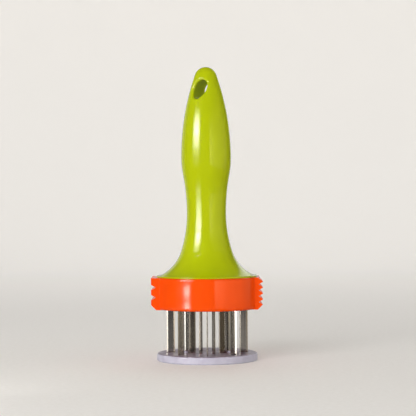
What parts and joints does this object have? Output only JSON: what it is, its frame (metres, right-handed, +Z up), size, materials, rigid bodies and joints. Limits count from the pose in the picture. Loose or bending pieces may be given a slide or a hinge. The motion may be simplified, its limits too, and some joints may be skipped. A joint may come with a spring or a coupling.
{
  "type": "blade meat tenderizer",
  "caption": "Hand-held press-down meat tenderizer: bell-footed handle, drum head with toothed mallet sides, rings of flat blades and a sprung round guard plate.",
  "frame": {"origin": "centre of the guard plate's underside, which the tool stands on", "axes": "+Z up the tool's axis to the handle's tip, -X out of the coarse mallet pad, +X out of the fine mallet pad"},
  "size_m": [0.073, 0.07, 0.1942],
  "materials": {
    "handle_green_abs": "gloss moulded",
    "head_orange_abs": "gloss moulded",
    "guard_white_pp": "satin moulded",
    "block_grey_abs": "satin moulded",
    "yoke_pom": "satin moulded",
    "blade_steel": "fine ground along the blade",
    "clamp_steel": "rolled",
    "post_steel": "polished",
    "spring_steel": "drawn wire",
    "screw_steel": "zinc plated"
  },
  "bodies": {
    "handle_and_head": {"handle": "handle_green_abs", "tenderizer_head": "head_orange_abs", "blade_block": "block_grey_abs", "blade_clamp_plate": "clamp_steel", "blade_outer_1": "blade_steel", "blade_outer_2": "blade_steel", "blade_outer_3": "blade_steel", "blade_outer_4": "blade_steel", "blade_outer_5": "blade_steel", "blade_outer_6": "blade_steel", "blade_outer_7": "blade_steel", "blade_outer_8": "blade_steel", "blade_inner_1": "blade_steel", "blade_inner_2": "blade_steel", "blade_inner_3": "blade_steel", "blade_inner_4": "blade_steel", "blade_inner_5": "blade_steel", "blade_inner_6": "blade_steel", "blade_inner_7": "blade_steel", "blade_inner_8": "blade_steel", "head_screws": "screw_steel", "spring_seat": "yoke_pom", "return_spring": "spring_steel"},
    "guard": {"guard_plate": "guard_white_pp", "guide_post_left": "post_steel", "guide_post_right": "post_steel", "spring_yoke": "yoke_pom", "post_top_screws": "screw_steel", "post_foot_screws": "screw_steel"}
  },
  "joints": [
    {"name": "guard_slide", "type": "slide", "parent": "handle_and_head", "child": "guard", "axis": [0, 0, 1], "range_m": [0, 0.016], "stiffness_N_per_m": 1110, "springref_m": -0.01, "deforming": ["return_spring"]}
  ]
}
